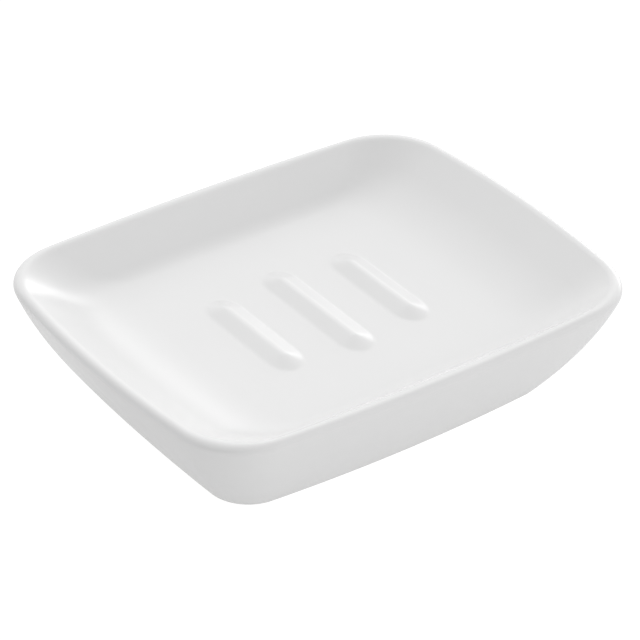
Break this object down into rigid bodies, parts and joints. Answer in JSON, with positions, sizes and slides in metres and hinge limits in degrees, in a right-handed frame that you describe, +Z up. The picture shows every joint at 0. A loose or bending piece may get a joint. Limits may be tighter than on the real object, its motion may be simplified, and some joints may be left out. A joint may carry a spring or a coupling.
{
  "type": "soap dish",
  "caption": "Rectangular soap dish in white glazed ceramic, with rounded corners, a rolled rim, sloping walls, a shallow bowl, raised drain ribs and soft pads under its foot.",
  "frame": {"origin": "middle of the face that the pads stand on, under the centre of the dish", "axes": "+X along the long side, +Y along the short side towards the back, +Z up out of the bowl"},
  "size_m": [0.13, 0.106, 0.0317],
  "materials": {
    "glaze": "glossy white glaze, wiped bare on the foot ring",
    "pad": "matt translucent soft pad"
  },
  "bodies": {
    "root": {"dish": "glaze", "pad_front_left": "pad", "pad_front_right": "pad", "pad_back_left": "pad", "pad_back_right": "pad"}
  },
  "joints": []
}
